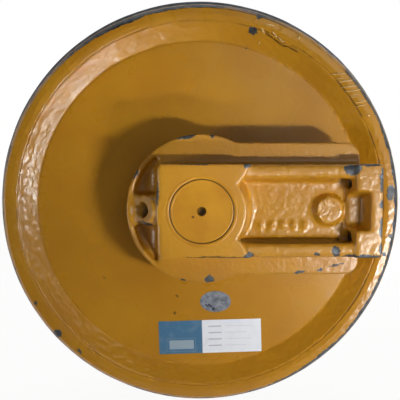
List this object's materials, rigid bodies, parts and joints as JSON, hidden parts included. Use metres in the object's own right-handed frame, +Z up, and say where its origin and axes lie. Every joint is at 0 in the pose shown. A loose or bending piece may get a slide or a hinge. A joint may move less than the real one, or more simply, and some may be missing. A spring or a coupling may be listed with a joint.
{
  "type": "excavator front idler",
  "caption": "Welded hollow track idler wheel with a middle guide flange, turning on a fixed axle between two cast guide brackets with yoke bolt holes.",
  "frame": {"origin": "centre of the wheel on the axle, which is the centre of the whole part's box", "axes": "+Y along the axle away from the near bracket, +X towards the yoke that the brackets are bolted to, +Z up"},
  "size_m": [0.528, 0.32, 0.528],
  "materials": {
    "yellow_enamel": "glossy enamel over cast and forged steel",
    "axle_steel": "ground steel, painted over at the ends",
    "hub_steel": "turned steel",
    "seal_iron": "lapped hard iron",
    "seal_rubber": "matte black nitrile rubber",
    "bush_bronze": "bronze lining on a steel back",
    "pin_steel": "hardened steel, blackened",
    "washer_copper": "soft copper"
  },
  "bodies": {
    "carrier": {"axle": "axle_steel", "bracket_near": "yellow_enamel", "bracket_far": "yellow_enamel", "lock_pin_near": "pin_steel", "lock_pin_far": "pin_steel", "bracket_seal_ring_near": "seal_iron", "bracket_seal_ring_far": "seal_iron", "bracket_toric_near": "seal_rubber", "bracket_toric_far": "seal_rubber", "axle_oring_near": "seal_rubber", "axle_oring_far": "seal_rubber"},
    "wheel": {"wheel_half_near": "yellow_enamel", "wheel_half_far": "yellow_enamel", "rim_weld": "yellow_enamel", "hub_sleeve": "hub_steel", "hub_weld_near": "yellow_enamel", "hub_weld_far": "yellow_enamel", "bush_near": "bush_bronze", "bush_far": "bush_bronze", "wheel_seal_ring_near": "seal_iron", "wheel_seal_ring_far": "seal_iron", "wheel_toric_near": "seal_rubber", "wheel_toric_far": "seal_rubber", "oil_plug": "pin_steel", "plug_washer": "washer_copper"}
  },
  "joints": [
    {"name": "wheel_spin", "type": "hinge", "parent": "carrier", "child": "wheel", "pos_m": [0, 0, 0], "axis": [0, 1, 0], "continuous": true}
  ]
}
